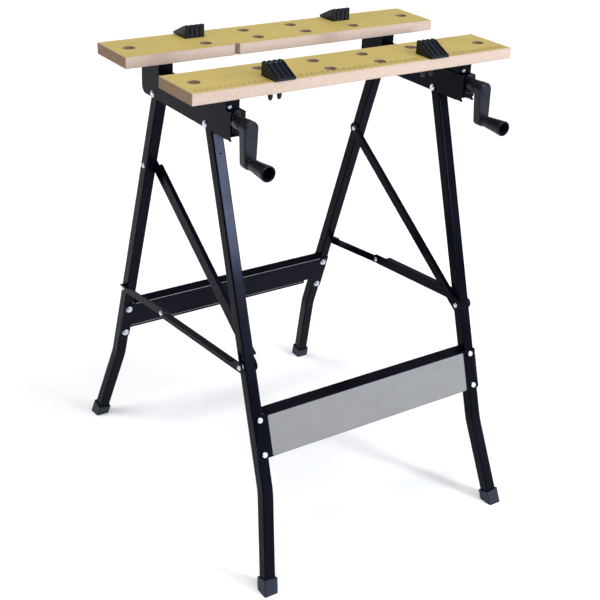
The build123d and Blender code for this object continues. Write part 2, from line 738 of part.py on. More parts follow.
def make_knob(name, side, turn):
    axis_x = side * SPINDLE_X - THROW * sin(radians(turn))
    axis_z = SPINDLE_Z - THROW * cos(radians(turn))
    base = CRANK_FACE - KNOB_GAP
    length = base - KNOB_END
    profile = Plane(origin=(axis_x, base, axis_z), x_dir=(1, 0, 0), z_dir=(0, 0, 1))
    with BuildPart() as knob:
        with BuildSketch(profile):
            with BuildLine():
                Polyline(
                    (KNOB_PIN_R + 0.05, 0),
                    (KNOB_BASE_R, 0),
                    (KNOB_BASE_R, -3),
                    (KNOB_BASE_R - 1.0, -4.5),
                    (KNOB_BASE_R, -8),
                    (KNOB_END_R - 0.6, -length + 6),
                    (KNOB_END_R, -length + 3),
                    (KNOB_END_R - 0.5, -length + 0.6),
                    (KNOB_END_R - 1.2, -length),
                    (KNOB_MOUTH_R, -length),
                    (KNOB_MOUTH_R - 0.8, -length + KNOB_MOUTH_DEPTH),
                    (KNOB_PIN_R + 0.05, -length + KNOB_MOUTH_DEPTH),
                    close=True,
                )
            make_face()
        revolve(axis=Axis((axis_x, base, axis_z), (0, 1, 0)))
    knob.part.label = name
    export_step(knob.part, "parts/" + name + ".step")


for side_name, side in SIDES.items():
    make_bush("spindle_bush_" + side_name, side)
    make_spindle("spindle_" + side_name, side)
    make_crank("crank_" + side_name, side, CRANK_TURN[side_name])
    make_knob("crank_knob_" + side_name, side, CRANK_TURN[side_name])


# ---------------------------------------------------------------- clamping pegs
def make_peg(name, x_place, y_place, toward_gap):
    side_view = Plane(
        origin=(x_place - PEG_W / 2, y_place, JAW_TOP),
        x_dir=(0, toward_gap, 0), z_dir=(toward_gap, 0, 0),
    )
    if toward_gap < 0:
        side_view = side_view.offset(-PEG_W)
    front_view = Plane(
        origin=(x_place, y_place + PRONG_HALF_D, 0), x_dir=(1, 0, 0), z_dir=(0, -1, 0)
    )
    slope_start = Vector(x_place, y_place - toward_gap * PEG_NOSE, JAW_TOP + PEG_NOSE_H)
    slope_end = Vector(
        x_place, y_place + toward_gap * (PEG_FACE - PEG_CREST), JAW_TOP + PEG_H
    )
    slope = Plane(
        origin=(slope_start + slope_end) * 0.5,
        x_dir=(1, 0, 0),
        z_dir=(slope_end - slope_start).cross(Vector(-toward_gap, 0, 0)),
    )
    slope_length = (slope_end - slope_start).length
    lobe_w = PEG_W / PEG_LOBES
    with BuildPart() as peg:
        with BuildSketch(side_view):
            with BuildLine():
                Polyline(
                    (PEG_FACE, 0),
                    (PEG_FACE, PEG_H),
                    (PEG_FACE - PEG_CREST, PEG_H),
                    (-PEG_NOSE, PEG_NOSE_H),
                    (-PEG_NOSE, 0),
                    close=True,
                )
            make_face()
        extrude(amount=PEG_W)
        top_edge = peg.edges().filter_by(Axis.X).group_by(Axis.Z)[-1]
        fillet(top_edge, PEG_TOP_R)
        for valley in range(PEG_LOBES + 1):
            place = (
                x_place - PEG_W / 2 + valley * lobe_w,
                y_place + toward_gap * PEG_FACE,
                JAW_TOP + PEG_H / 2,
            )
            with Locations(place):
                Box(
                    PEG_VALLEY, PEG_VALLEY, PEG_H + 1, rotation=(0, 0, 45),
                    mode=Mode.SUBTRACT,
                )
        with BuildSketch(slope):
            Rectangle(PEG_RECESS_W, slope_length - 4 * PEG_RECESS_DEPTH)
            with GridLocations(PEG_RECESS_W / PEG_RIBS, 0, PEG_RIBS, 1):
                Rectangle(PEG_RIB_W, slope_length, mode=Mode.SUBTRACT)
        extrude(amount=-PEG_RECESS_DEPTH, mode=Mode.SUBTRACT)
        for prong in (-1, 1):
            with BuildSketch(front_view):
                with BuildLine():
                    Polyline(
                        (prong * PRONG_INNER, JAW_TOP + 1),
                        (prong * PRONG_OUTER, JAW_TOP + 1),
                        (prong * PRONG_OUTER, JAW_BOTTOM - 1),
                        (prong * PRONG_BARB, JAW_BOTTOM - 3.5),
                        (prong * PRONG_BARB, JAW_BOTTOM - 9),
                        (prong * (PRONG_BARB - 1.2), PRONG_BOTTOM + 2.5),
                        (prong * (PRONG_BARB - 3.4), PRONG_BOTTOM),
                        (prong * (PRONG_INNER + 3), PRONG_BOTTOM),
                        (prong * PRONG_INNER, PRONG_BOTTOM + 3),
                        close=True,
                    )
                make_face()
            extrude(amount=2 * PRONG_HALF_D)
    peg.part.label = name
    export_step(peg.part, "parts/" + name + ".step")


for side_name, side in SIDES.items():
    make_peg("peg_front_" + side_name, side * PEG_X, FRONT_JAW_Y - DOG_ROW, 1)
    make_peg("peg_rear_" + side_name, side * PEG_X, REAR_JAW_Y + DOG_ROW, -1)


# -------------------------------------------------------------- struts and braces
def link_plane(x_low, start, end):
    """Plane along a link: local x from start to end, local y towards its upper edge."""
    return Plane(
        origin=(x_low, start[0], start[1]),
        x_dir=(0, end[0] - start[0], end[1] - start[1]),
        z_dir=(1, 0, 0),
    )


def make_strut(name, side):
    low, width = span(side, STRUT_INNER_X, STRUT_INNER_X + STRUT_SHEET)
    length = hypot(
        POINT_STRUT_LEG[0] - POINT_LOWER[0], POINT_STRUT_LEG[1] - POINT_LOWER[1]
    )
    flange_low, flange_width = span(
        side, STRUT_INNER_X - STRUT_FLANGE + STRUT_SHEET, STRUT_INNER_X + STRUT_SHEET
    )
    with BuildPart() as strut:
        with BuildSketch(link_plane(low, POINT_LOWER, POINT_STRUT_LEG)):
            with Locations((length / 2, 0)):
                SlotCenterToCenter(length, STRUT_W)
            Circle(PIN_HOLE_R, mode=Mode.SUBTRACT)
        extrude(amount=width)
        with BuildSketch(link_plane(flange_low, POINT_LOWER, POINT_STRUT_LEG)):
            with Locations((length / 2, STRUT_W / 2 - STRUT_SHEET / 2)):
                Rectangle(length - STRUT_W, STRUT_SHEET)
        extrude(amount=flange_width)
    strut.part.label = name
    export_step(strut.part, "parts/" + name + ".step")


def make_strut_rivet(name, side):
    with BuildPart() as rivet:
        domed_head(
            POINT_STRUT_LEG, side * STRUT_INNER_X, -side, RIVET_HEAD_R, RIVET_HEAD_H
        )
    rivet.part.label = name
    export_step(rivet.part, "parts/" + name + ".step")


def make_brace_front(name, side):
    low, width = span(
        side, LEG_X + BRACE_FRONT_X, LEG_X + BRACE_FRONT_X + BRACE_SHEET
    )
    flange_low, flange_width = span(
        side, LEG_X + BRACE_FRONT_X, LEG_X + BRACE_FRONT_X + BRACE_FRONT_FLANGE
    )
    flange_length = BRACE_FRONT_LENGTH - BRACE_FLANGE_START - BRACE_FLANGE_STOP
    flange_middle = BRACE_FLANGE_START + flange_length / 2
    with BuildPart() as brace:
        with BuildSketch(link_plane(low, POINT_LOWER, POINT_BRACE_JOINT)):
            with Locations((BRACE_FRONT_LENGTH / 2, 0)):
                SlotCenterToCenter(BRACE_FRONT_LENGTH, BRACE_FRONT_W)
            Circle(PIN_HOLE_R, mode=Mode.SUBTRACT)
            with Locations((BRACE_FRONT_LENGTH, 0)):
                Circle(PIN_HOLE_R, mode=Mode.SUBTRACT)
        extrude(amount=width)
        with BuildSketch(link_plane(flange_low, POINT_LOWER, POINT_BRACE_JOINT)):
            with Locations((flange_middle, BRACE_FRONT_W / 2 - BRACE_SHEET / 2)):
                Rectangle(flange_length, BRACE_SHEET)
        extrude(amount=flange_width)
    brace.part.label = name
    export_step(brace.part, "parts/" + name + ".step")


def make_brace_rear(name, side):
    low, width = span(side, LEG_X + BRACE_REAR_X, LEG_X + BRACE_REAR_X + BRACE_SHEET)
    flange_low, flange_width = span(
        side, LEG_X + BRACE_REAR_X, LEG_X + BRACE_REAR_X + BRACE_REAR_FLANGE
    )
    flange_middle = (
        BRACE_REAR_LENGTH + BRACE_REAR_FLANGE_PAST - BRACE_REAR_FLANGE_LENGTH / 2
    )
    with BuildPart() as brace:
        with BuildSketch(link_plane(low, POINT_BRACE_JOINT, POINT_BRACE_LEG)):
            with Locations((BRACE_REAR_LENGTH / 2, 0)):
                SlotCenterToCenter(BRACE_REAR_LENGTH, BRACE_REAR_W)
            Circle(PIN_HOLE_R, mode=Mode.SUBTRACT)
        extrude(amount=width)
        with BuildSketch(link_plane(flange_low, POINT_BRACE_JOINT, POINT_BRACE_LEG)):
            with Locations((flange_middle, BRACE_REAR_W / 2 - BRACE_SHEET / 2)):
                Rectangle(BRACE_REAR_FLANGE_LENGTH, BRACE_SHEET)
        extrude(amount=flange_width)
    brace.part.label = name
    export_step(brace.part, "parts/" + name + ".step")


def make_brace_rivets(name, side):
    outer = LEG_X + BRACE_FRONT_X + BRACE_SHEET + STRUT_GAP
    inner = LEG_X + BRACE_REAR_X - STRUT_GAP
    with BuildPart() as rivets:
        low, width = span(side, inner, outer)
        pin_along_x(POINT_BRACE_JOINT, low, low + width, PIN_R)
        domed_head(POINT_BRACE_JOINT, side * outer, side, RIVET_HEAD_R, RIVET_HEAD_H)
        low, width = span(side, inner, inner + BRACE_RIVET_DISC)
        pin_along_x(POINT_BRACE_JOINT, low, low + width, RIVET_HEAD_R)
    rivets.part.label = name
    export_step(rivets.part, "parts/" + name + ".step")


def make_brace_end_rivet(name, side):
    outer = LEG_X + BRACE_REAR_X + BRACE_SHEET
    with BuildPart() as rivet:
        domed_head(POINT_BRACE_LEG, side * outer, side, RIVET_HEAD_R, RIVET_HEAD_H)
    rivet.part.label = name
    export_step(rivet.part, "parts/" + name + ".step")


for side_name, side in SIDES.items():
    make_strut("strut_" + side_name, side)
    make_strut_rivet("strut_rivet_" + side_name, side)
    make_brace_front("brace_front_" + side_name, side)
    make_brace_rear("brace_rear_" + side_name, side)
    make_brace_rivets("brace_rivet_" + side_name, side)
    make_brace_end_rivet("brace_end_rivet_" + side_name, side)
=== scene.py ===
import math

import bmesh
import bpy
from mathutils import Matrix, Vector


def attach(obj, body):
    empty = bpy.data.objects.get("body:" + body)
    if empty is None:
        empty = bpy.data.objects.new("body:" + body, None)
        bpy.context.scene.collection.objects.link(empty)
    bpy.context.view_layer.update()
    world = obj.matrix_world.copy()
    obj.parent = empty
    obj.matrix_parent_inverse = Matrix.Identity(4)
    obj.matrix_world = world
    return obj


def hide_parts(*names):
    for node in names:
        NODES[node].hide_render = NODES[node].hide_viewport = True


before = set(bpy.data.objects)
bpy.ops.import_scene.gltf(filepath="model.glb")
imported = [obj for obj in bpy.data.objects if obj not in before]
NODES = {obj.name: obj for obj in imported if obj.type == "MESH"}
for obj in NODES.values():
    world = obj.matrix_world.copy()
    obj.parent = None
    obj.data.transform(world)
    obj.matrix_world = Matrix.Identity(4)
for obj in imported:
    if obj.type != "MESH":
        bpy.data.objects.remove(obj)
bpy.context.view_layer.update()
SIDES = {"left": -1, "right": 1}

# Sizes that the CAD model also holds, in metres
JAW_TOP = 0.802
JAW_BOTTOM = 0.784
JAW_LENGTH = 0.605
JAW_WIDTH = 0.100
FRONT_JAW_Y = -0.1145
REAR_JAW_Y = 0.093
DOG_ROW = 0.02375
PEG_X = 0.147
LEAN = math.atan(0.32)
PIVOT_Y = 0.0845
PIVOT_Z = 0.725
TUBE = 0.020
SPINDLE_X = 0.224
SPINDLE_Z = 0.748
THROW = 0.0515
KNOB_BASE_Y = -0.1988
CRANK_TURN = {"left": 0.0, "right": math.radians(-4.0)}


# ---------------------------------------------------------------- materials
def new_material(name):
    """Node material with its tree, its shader and its texture coordinates."""
    mat = bpy.data.materials.new(name)
    mat.use_nodes = True
    tree = mat.node_tree
    shader = tree.nodes["Principled BSDF"]
    coords = tree.nodes.new("ShaderNodeTexCoord")
    return mat, tree, shader, coords


def noise(tree, coords, scale, detail=3.0, rough=0.55, stretch=None):
    """Noise in the piece's own coordinates, drawn out along an axis where stretch is small."""
    node = tree.nodes.new("ShaderNodeTexNoise")
    node.inputs["Scale"].default_value = scale
    node.inputs["Detail"].default_value = detail
    node.inputs["Roughness"].default_value = rough
    if stretch:
        mapping = tree.nodes.new("ShaderNodeMapping")
        mapping.inputs["Scale"].default_value = stretch
        tree.links.new(coords.outputs["Object"], mapping.inputs["Vector"])
        tree.links.new(mapping.outputs["Vector"], node.inputs["Vector"])
    else:
        tree.links.new(coords.outputs["Object"], node.inputs["Vector"])
    return node.outputs["Fac"]


def ramp(tree, value, stops):
    """Colour ramp over (position, colour) stops."""
    node = tree.nodes.new("ShaderNodeValToRGB")
    while len(node.color_ramp.elements) < len(stops):
        node.color_ramp.elements.new(0.5)
    for element, (place, colour) in zip(node.color_ramp.elements, stops):
        element.position = place
        element.color = (*colour, 1.0)
    tree.links.new(value, node.inputs["Fac"])
    return node.outputs["Color"]


def mix(tree, factor, a, b):
    """Colour between a and b, each a socket or a plain colour."""
    node = tree.nodes.new("ShaderNodeMix")
    node.data_type = "RGBA"
    for socket, given in ((node.inputs[0], factor), (node.inputs[6], a), (node.inputs[7], b)):
        if isinstance(given, (int, float)):
            socket.default_value = given
        elif isinstance(given, tuple):
            socket.default_value = (*given, 1.0)
        else:
            tree.links.new(given, socket)
    return node.outputs[2]


def math_node(tree, op, a, b=0.0):
    node = tree.nodes.new("ShaderNodeMath")
    node.operation = op
    for socket, given in ((node.inputs[0], a), (node.inputs[1], b)):
        if isinstance(given, (int, float)):
            socket.default_value = given
        else:
            tree.links.new(given, socket)
    return node.outputs[0]


def map_range(tree, value, low, high, to_low, to_high):
    node = tree.nodes.new("ShaderNodeMapRange")
    node.inputs["From Min"].default_value = low
    node.inputs["From Max"].default_value = high
    node.inputs["To Min"].default_value = to_low
    node.inputs["To Max"].default_value = to_high
    tree.links.new(value, node.inputs["Value"])
    return node.outputs["Result"]


def bump(tree, shader, height, strength, distance):
    node = tree.nodes.new("ShaderNodeBump")
    node.inputs["Strength"].default_value = strength
    node.inputs["Distance"].default_value = distance
    tree.links.new(height, node.inputs["Height"])
    tree.links.new(node.outputs["Normal"], shader.inputs["Normal"])


def separate(tree, vector):
    node = tree.nodes.new("ShaderNodeSeparateXYZ")
    tree.links.new(vector, node.inputs["Vector"])
    return node.outputs


def enamel_material(name, dark=(0.0010, 0.0011, 0.0030), light=(0.0026, 0.0027, 0.0060)):
    """Glossy blue-black stoving enamel: orange peel, faint haze and dust, tiny scuffs."""
    mat, tree, shader, coords = new_material(name)
    haze = noise(tree, coords, 9.0, 4.0)
    base = ramp(tree, haze, [(0.35, dark), (0.7, light)])
    scuff = noise(tree, coords, 240.0, 5.0, 0.7, (1.0, 1.0, 0.16))
    scuffed = map_range(tree, scuff, 0.70, 0.82, 0.0, 0.5)
    base = mix(tree, scuffed, base, (0.016, 0.017, 0.024))
    tree.links.new(base, shader.inputs["Base Color"])
    peel = noise(tree, coords, 420.0, 2.0)
    rough = map_range(tree, haze, 0.3, 0.75, 0.17, 0.30)
    tree.links.new(rough, shader.inputs["Roughness"])
    shader.inputs["Specular IOR Level"].default_value = 0.055
    shader.inputs["Specular Tint"].default_value = (0.60, 0.68, 1.0, 1.0)
    bump(tree, shader, peel, 0.12, 0.0004)
    return mat


def zinc_material(name):
    """Zinc-plated steel: uneven tone and a slightly rough plate."""
    mat, tree, shader, coords = new_material(name)
    blotch = noise(tree, coords, 160.0, 3.0)
    base = ramp(tree, blotch, [(0.3, (0.52, 0.55, 0.66)), (0.7, (0.78, 0.80, 0.88))])
    tree.links.new(base, shader.inputs["Base Color"])
    shader.inputs["Metallic"].default_value = 1.0
    rough = map_range(tree, noise(tree, coords, 600.0, 2.0), 0.3, 0.7, 0.24, 0.42)
    tree.links.new(rough, shader.inputs["Roughness"])
    bump(tree, shader, noise(tree, coords, 900.0, 2.0), 0.10, 0.0002)
    return mat


def plastic_material(name, dark, light, rough_low, rough_high):
    """Black moulded plastic: fine spark-eroded grain with slight flow marks."""
    mat, tree, shader, coords = new_material(name)
    flow = noise(tree, coords, 30.0, 4.0)
    base = ramp(tree, flow, [(0.35, dark), (0.7, light)])
    tree.links.new(base, shader.inputs["Base Color"])
    rough = map_range(tree, flow, 0.3, 0.7, rough_low, rough_high)
    tree.links.new(rough, shader.inputs["Roughness"])
    shader.inputs["Specular IOR Level"].default_value = 0.22
    shader.inputs["Specular Tint"].default_value = (0.72, 0.80, 1.0, 1.0)
    bump(tree, shader, noise(tree, coords, 1500.0, 2.0), 0.22, 0.0003)
    return mat


def board_material(name):
    """Medium density board, printed yellow on top, bare on its edges and in its holes."""
    mat, tree, shader, coords = new_material(name)
    place = separate(tree, coords.outputs["Object"])
    facing = separate(tree, coords.outputs["Normal"])
    # printed face: warm yellow with faint bamboo strips and specks
    cloud = noise(tree, coords, 14.0, 4.0)
    pale_strip, dark_speck = (0.535, 0.418, 0.140), (0.360, 0.262, 0.080)
    strips = noise(tree, coords, 22.0, 3.0, 0.6, (0.12, 4.0, 1.0))
    specks = noise(tree, coords, 500.0, 3.0, 0.6, (0.35, 1.0, 1.0))
    printed = ramp(tree, cloud, [(0.3, (0.455, 0.345, 0.090)), (0.7, (0.515, 0.392, 0.112))])
    printed = mix(tree, map_range(tree, strips, 0.35, 0.7, 0.0, 0.5), printed, pale_strip)
    printed = mix(tree, map_range(tree, specks, 0.52, 0.72, 0.0, 0.32), printed, dark_speck)
    # bare edge: pinkish brown fibres, paler band in the middle of the thickness
    fibre = noise(tree, coords, 700.0, 4.0, 0.7, (0.5, 0.5, 1.2))
    layer = noise(tree, coords, 30.0, 3.0, 0.6, (0.3, 0.3, 6.0))
    bare = ramp(tree, fibre, [(0.3, (0.375, 0.285, 0.225)), (0.7, (0.520, 0.410, 0.345))])
    bare = mix(tree, map_range(tree, layer, 0.35, 0.7, 0.0, 0.45), bare, (0.440, 0.335, 0.262))
    middle_z = (JAW_TOP + JAW_BOTTOM) / 2
    depth = math_node(tree, "ABSOLUTE", math_node(tree, "SUBTRACT", place[2], middle_z))
    dark_rim = map_range(tree, depth, 0.0062, 0.0092, 0.0, 0.35)
    bare = mix(tree, dark_rim, bare, (0.255, 0.185, 0.140))
    # end faces at both ends of the board darker brown: painted shade
    end_face = math_node(tree, "GREATER_THAN", math_node(tree, "ABSOLUTE", facing[0]), 0.9)
    near_end = JAW_LENGTH / 2 - 0.0010
    at_end = math_node(
        tree, "GREATER_THAN", math_node(tree, "ABSOLUTE", place[0]), near_end
    )
    shaded_ends = math_node(tree, "MULTIPLY", end_face, at_end)
    bare = mix(tree, math_node(tree, "MULTIPLY", shaded_ends, 0.82), bare, (0.205, 0.120, 0.062))
    # walls of the peg holes and of the notch, away from the long edges: darker brown as painted
    # shade
    rear_side = math_node(tree, "GREATER_THAN", place[1], 0.0)
    centre = map_range(tree, rear_side, 0.0, 1.0, FRONT_JAW_Y, REAR_JAW_Y)
    across = math_node(tree, "ABSOLUTE", math_node(tree, "SUBTRACT", place[1], centre))
    near_edge = JAW_WIDTH / 2 - 0.0008
    inside = math_node(
        tree, "MULTIPLY", math_node(tree, "LESS_THAN", across, near_edge),
        math_node(tree, "SUBTRACT", 1.0, at_end),
    )
    hole_wall_shade = mix(tree, fibre, (0.170, 0.095, 0.055), (0.085, 0.045, 0.026))
    bare = mix(tree, math_node(tree, "MULTIPLY", inside, 0.68), bare, hole_wall_shade)
    up = math_node(tree, "GREATER_THAN", facing[2], 0.9)
    tree.links.new(mix(tree, up, bare, printed), shader.inputs["Base Color"])
    rough_top = map_range(tree, cloud, 0.3, 0.7, 0.40, 0.52)
    rough = map_range(tree, up, 0.0, 1.0, 0.85, 0.0)
    rough = math_node(tree, "MAXIMUM", rough, rough_top)
    tree.links.new(rough, shader.inputs["Roughness"])
    shader.inputs["Specular IOR Level"].default_value = 0.35
    grain = math_node(
        tree, "MULTIPLY", fibre, map_range(tree, up, 0.0, 1.0, 1.0, 0.15)
    )
    bump(tree, shader, grain, 0.35, 0.0006)
    return mat


def label_material(name):
    """Blank grey film with a satin face."""
    mat, tree, shader, coords = new_material(name)
    tone = noise(tree, coords, 40.0, 4.0)
    base = ramp(tree, tone, [(0.3, (0.165, 0.165, 0.166)), (0.7, (0.182, 0.182, 0.183))])
    tree.links.new(base, shader.inputs["Base Color"])
    rough = map_range(tree, noise(tree, coords, 300.0, 2.0), 0.3, 0.7, 0.55, 0.7)
    tree.links.new(rough, shader.inputs["Roughness"])
    shader.inputs["Specular IOR Level"].default_value = 0.25
    bump(tree, shader, noise(tree, coords, 1200.0, 2.0), 0.08, 0.0002)
    return mat


def ink_material(name, colour):
    """Patchy print that shows a little of the board through it."""
    mat, tree, shader, coords = new_material(name)
    patchy = noise(tree, coords, 900.0, 3.0)
    base = ramp(tree, patchy, [(0.3, colour), (0.75, tuple(min(1.0, c * 2.2) for c in colour))])
    tree.links.new(base, shader.inputs["Base Color"])
    rough = map_range(tree, patchy, 0.3, 0.7, 0.5, 0.65)
    tree.links.new(rough, shader.inputs["Roughness"])
    return mat


ENAMEL = enamel_material("black_enamel")
ZINC = zinc_material("zinc_plate")
PLASTIC = plastic_material(
    "black_plastic", (0.0045, 0.0050, 0.0070), (0.0085, 0.0092, 0.0125), 0.20, 0.33
)
# lighter plastic for the tops of the peg ribs: painted highlight
RIB_HIGHLIGHT = plastic_material(
    "painted_rib_highlight", (0.020, 0.023, 0.032), (0.036, 0.040, 0.052), 0.22, 0.34
)
RUBBERY = plastic_material(
    "foot_plastic", (0.0105, 0.0130, 0.0215), (0.0180, 0.0215, 0.0330), 0.40, 0.58
)
BOARD = board_material("printed_board")
LABEL = label_material("blank_label")
INK = ink_material("scale_ink", (0.060, 0.034, 0.014))
FAINT_INK = ink_material("protractor_ink", (0.235, 0.170, 0.055))


# ------------------------------------------------------------- mesh helpers
def finish_piece(bm, name, mat, body, replaces=(), smooth=35.0, second=None):
    """Turns a finished bmesh into a named piece that rides on its body."""
    bmesh.ops.remove_doubles(bm, verts=bm.verts, dist=1e-7)
    bmesh.ops.recalc_face_normals(bm, faces=bm.faces)
    mesh = bpy.data.meshes.new(name)
    bm.to_mesh(mesh)
    bm.free()
    mesh.materials.append(mat)
    if second:
        mesh.materials.append(second)
    for face in mesh.polygons:
        face.use_smooth = True
    mesh.set_sharp_from_angle(angle=math.radians(smooth))
    obj = bpy.data.objects.new(name, mesh)
    bpy.context.scene.collection.objects.link(obj)
    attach(obj, body)
    if replaces:
        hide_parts(*replaces)


def add_bevel(obj, width):
    """Rounds the sharp edges of a piece, which catch the light in a real finish."""
    mod = obj.modifiers.new("edge", "BEVEL")
    mod.width = width
    mod.segments = 2
    mod.limit_method = "ANGLE"
    mod.angle_limit = math.radians(40.0)


def frame_at(origin, z_dir, x_dir):
    """Matrix with its Z along z_dir and its X near x_dir, at origin."""
    z_axis = Vector(z_dir).normalized()
    x_axis = (Vector(x_dir) - z_axis * z_axis.dot(Vector(x_dir))).normalized()
    y_axis = z_axis.cross(x_axis)
    mat = Matrix((x_axis, y_axis, z_axis)).transposed().to_4x4()
    mat.translation = Vector(origin)
    return mat


def lathe(bm, profile, place, segments=32):
    """Turns (radius, height) pairs about the local Z of place and joins the rings."""
    rings = []
    for radius, height in profile:
        if radius < 1e-7:
            rings.append([bm.verts.new(place @ Vector((0, 0, height)))])
            continue
        ring = []
        for k in range(segments):
            a = 2 * math.pi * k / segments
            ring.append(
                bm.verts.new(place @ Vector((radius * math.cos(a), radius * math.sin(a), height)))
            )
        rings.append(ring)
    for low, high in zip(rings, rings[1:]):
        for k in range(segments):
            n = (k + 1) % segments
            if len(low) == 1:
                bm.faces.new((low[0], high[k], high[n]))
            elif len(high) == 1:
                bm.faces.new((low[k], low[n], high[0]))
            else:
                bm.faces.new((low[k], low[n], high[n], high[k]))


def join_rings(bm, rings, capped=True):
    """Closes neighbouring rings of equal size into rows of faces, and the two ends."""
    size = len(rings[0])
    rows = []
    for low, high in zip(rings, rings[1:]):
        row = []
        for k in range(size):
            n = (k + 1) % size
            row.append(bm.faces.new((low[k], low[n], high[n], high[k])))
        rows.append(row)
    if capped:
        bm.faces.new(rings[0])
        bm.faces.new(list(reversed(rings[-1])))
    return rows


def hexagon(radius, turn):
    angles = [turn + k * math.pi / 3 for k in range(6)]
    return [(radius * math.cos(a), radius * math.sin(a)) for a in angles]


def leg_place(end, x, depth, out):
    """Point on a leg plane, as the CAD model counts it, and that plane's outward normal."""
    sign = -1 if end == "front" else 1
    normal = Vector((0, -math.cos(LEAN), -sign * math.sin(LEAN)))
    point = Vector(
        (x, sign * (PIVOT_Y + depth * math.sin(LEAN)), PIVOT_Z - depth * math.cos(LEAN))
    )
    return point + normal * out, normal


# ----------------------------------------------------- fasteners, in zinc plate
PANEL_SHEET = 0.0020
PANEL_BOLT_X = 0.2205
PANEL_BOLT_DEPTHS = (0.472, 0.530)
CROSSBAR_SHEET = 0.0015
CROSSBAR_BOLT_X = 0.2215
CROSSBAR_BOLT_DEPTHS = (0.473, 0.533)
CROSSBAR_WASHER_R = 0.0064
BOLT_R = 0.0029
BOLT_PAST_MIDDLE = 0.0186
WASHER_H = 0.0012
PANEL_WASHER_H = 0.0011
PIVOT_R = 0.0040


def bolt_head(bm, place, washer_r, hex_r, hex_h, turn):
    """Washer, chamfered hexagon and a low domed crown."""
    lathe(
        bm,
        [(0, 0), (washer_r - 0.0002, 0), (washer_r, 0.0002), (washer_r, 0.0009),
         (washer_r - 0.0003, WASHER_H), (0, WASHER_H)],
        place, 28,
    )
    steps = [
        (hex_r * 0.98, WASHER_H), (hex_r, WASHER_H + 0.0003), (hex_r, hex_h - 0.0008),
        (hex_r * 0.90, hex_h),
    ]
    rings = []
    for radius, height in steps:
        outline = hexagon(radius, turn)
        rings.append([bm.verts.new(place @ Vector((x, y, height))) for x, y in outline])
    join_rings(bm, rings, capped=False)
    bm.faces.new(rings[-1])


def bolt_shank(bm, place, face, head_base):
    """Round shank from under the head, through the tube, to a chamfered tip behind it."""
    tip = -face - BOLT_PAST_MIDDLE
    lathe(bm, [(BOLT_R, tip), (BOLT_R, head_base)], place, 16)
    lathe(bm, [(0, tip), (BOLT_R - 0.0007, tip), (BOLT_R, tip + 0.0005)], place, 16)


def crossbar_screws(name, node):
    """Hexagon heads on washers, each turned a little differently, with their shanks."""
    bm = bmesh.new()
    face = TUBE / 2 + CROSSBAR_SHEET
    for depth in CROSSBAR_BOLT_DEPTHS:
        for side in (-1, 1):
            point, normal = leg_place("rear", side * CROSSBAR_BOLT_X, depth, face)
            place = frame_at(point, normal, (1, 0, 0))
            hex_r = CROSSBAR_WASHER_R * 0.84
            bolt_head(bm, place, CROSSBAR_WASHER_R, hex_r, 0.0038, 0.35 + depth)
            bolt_shank(bm, place, face, WASHER_H)
    finish_piece(bm, name, ZINC, "rear_frame", (node,))


def panel_screws(name, node):
    """Domed screw heads, each on a dark spring washer, with their shanks."""
    bm = bmesh.new()
    face = TUBE / 2 + PANEL_SHEET
    for depth in PANEL_BOLT_DEPTHS:
        for side in (-1, 1):
            point, normal = leg_place("front", side * PANEL_BOLT_X, depth, face)
            place = frame_at(point, normal, (1, 0, 0))
            before = len(bm.faces)
            lathe(
                bm,
                [(0, 0), (0.0070, 0), (0.0073, 0.0003), (0.0073, 0.0008),
                 (0.0068, PANEL_WASHER_H), (0, PANEL_WASHER_H)],
                place, 32,
            )
            bm.faces.ensure_lookup_table()
            for index in range(before, len(bm.faces)):
                bm.faces[index].material_index = 1
            lathe(
                bm,
                [(0, PANEL_WASHER_H), (0.0050, PANEL_WASHER_H), (0.0051, 0.0014),
                 (0.0049, 0.0022), (0.0042, 0.0031), (0.0029, 0.0037), (0.0017, 0.00385),
                 (0.0014, 0.0031), (0, 0.0030)],
                place, 32,
            )
            bolt_shank(bm, place, face, PANEL_WASHER_H)
    finish_piece(bm, name, ZINC, "front_frame", (node,), second=ENAMEL)


panel_screws("panel_bolts_detail", "panel_bolts")
crossbar_screws("crossbar_bolts_detail", "crossbar_bolts")


def pivot_head(bm, point, out):
    """Domed rivet head with a rolled edge and a punched centre."""
    big = 0.0044
    place = frame_at(point, (out, 0, 0), (0, 1, 0))
    lathe(
        bm,
        [(0, 0), (big, 0), (big, 0.0006), (big - 0.0004, 0.0012), (big * 0.75, 0.0019),
         (big * 0.50, 0.0023), (big * 0.30, 0.0023), (big * 0.22, 0.0018), (0, 0.0018)],
        place, 32,
    )


def yz_leg(end, depth):
    """Y and Z of the middle of a leg tube at a depth down the leg."""
    point, _ = leg_place(end, 0, depth, 0)
    return point.y, point.z


def shaft(bm, y, z, x_one, x_other, radius=PIVOT_R):
    """Open-ended round bar between two places along X."""
    x_low, x_high = sorted((x_one, x_other))
    place = frame_at((x_low, y, z), (1, 0, 0), (0, 1, 0))
    lathe(bm, [(radius, 0), (radius, x_high - x_low)], place, 24)


# How far from the middle of the bench the heads and washers sit, along X
ARM_BOLT_INNER = 0.2085
ARM_BOLT_OUTER = 0.2355
LOWER_BOLT_INNER = 0.2094
STRUT_INNER = 0.2097
LEG_OUTER = 0.2320
BRACE_RIVET_INNER = 0.2323
REAR_LINK_OUTER = 0.2346
FRONT_LINK_OUTER = 0.2372
SPACER_R = 0.0060

bm = bmesh.new()
for side in (-1, 1):
    for y in (-PIVOT_Y, PIVOT_Y):
        inner, outer = side * ARM_BOLT_INNER, side * ARM_BOLT_OUTER
        shaft(bm, y, PIVOT_Z, inner, outer)
        for x, out in ((inner, -side), (outer, side)):
            place = frame_at((x, y, PIVOT_Z), (out, 0, 0), (0, 1, 0))
            bolt_head(bm, place, 0.0056, 0.0047, 0.0026, 0.2 + y)
finish_piece(bm, "arm_pivot_bolts_detail", ZINC, "top", ("arm_pivot_bolts",))

